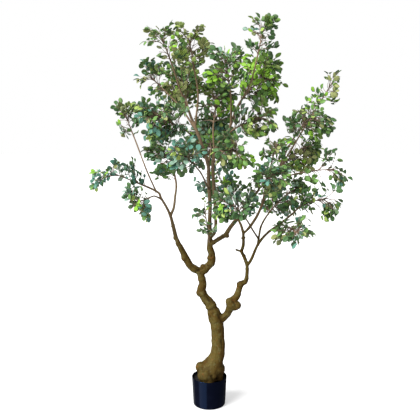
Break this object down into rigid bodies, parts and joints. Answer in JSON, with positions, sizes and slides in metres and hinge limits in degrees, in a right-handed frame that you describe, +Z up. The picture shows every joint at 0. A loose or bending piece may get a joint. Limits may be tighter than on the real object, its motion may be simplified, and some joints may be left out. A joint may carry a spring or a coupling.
{
  "type": "artificial potted fringe flower tree",
  "caption": "Tall artificial fringe flower tree without blossom: knobbly trunk forking low into slender boughs with sprays of small rounded leaves, in a plain dark plastic pot",
  "frame": {"origin": "centre of the pot's flat underside, on the floor", "axes": "+Z up along the pot's axis; -Y towards the viewer of the picture; +X to that viewer's right, where the lower fork's right stem goes"},
  "size_m": [1.3968, 0.8328, 2.177],
  "materials": {
    "pot": "glossy dark navy plastic",
    "filling": "rough dark cement",
    "bark": "matt moulded bark, olive tan",
    "foliage": "satin cloth leaves, blue green to yellow green"
  },
  "bodies": {
    "root": {"pot": "pot", "filling": "filling", "trunk": "bark", "left_bough": "bark", "left_upright": "bark", "left_low": "bark", "left_rise": "bark", "centre_mast": "bark", "second_mast": "bark", "centre_right": "bark", "right_stem": "bark", "right_inner": "bark", "right_high": "bark", "right_peak": "bark", "right_tip": "bark", "right_near": "bark", "right_outer": "bark", "right_hang": "bark", "right_middle": "bark", "cross_twig": "bark", "blue_side": "bark", "lower_left": "bark", "outer_left": "bark", "top_left": "bark", "top_middle": "bark", "back_low": "bark", "side_spur": "bark", "green_front": "bark", "top_sprig": "bark", "middle_spur": "bark", "back_dome": "bark", "left_spray_leaves": "foliage", "left_upright_leaves": "foliage", "left_low_leaves": "foliage", "left_rise_leaves": "foliage", "left_heart_leaves": "foliage", "blue_side_leaves": "foliage", "lower_left_leaves": "foliage", "outer_left_leaves": "foliage", "top_left_leaves": "foliage", "top_middle_leaves": "foliage", "back_dome_leaves": "foliage", "back_low_leaves": "foliage", "right_dome_leaves": "foliage", "side_spur_leaves": "foliage", "green_front_leaves": "foliage", "top_sprig_leaves": "foliage", "middle_leaves": "foliage", "centre_right_leaves": "foliage", "centre_low_leaves": "foliage", "right_inner_leaves": "foliage", "right_high_leaves": "foliage", "right_peak_leaves": "foliage", "right_tip_leaves": "foliage", "right_near_leaves": "foliage", "right_end_leaves": "foliage", "right_hang_leaves": "foliage", "right_middle_leaves": "foliage", "cross_leaves": "foliage", "mast_sprig_leaves": "foliage"}
  },
  "joints": []
}
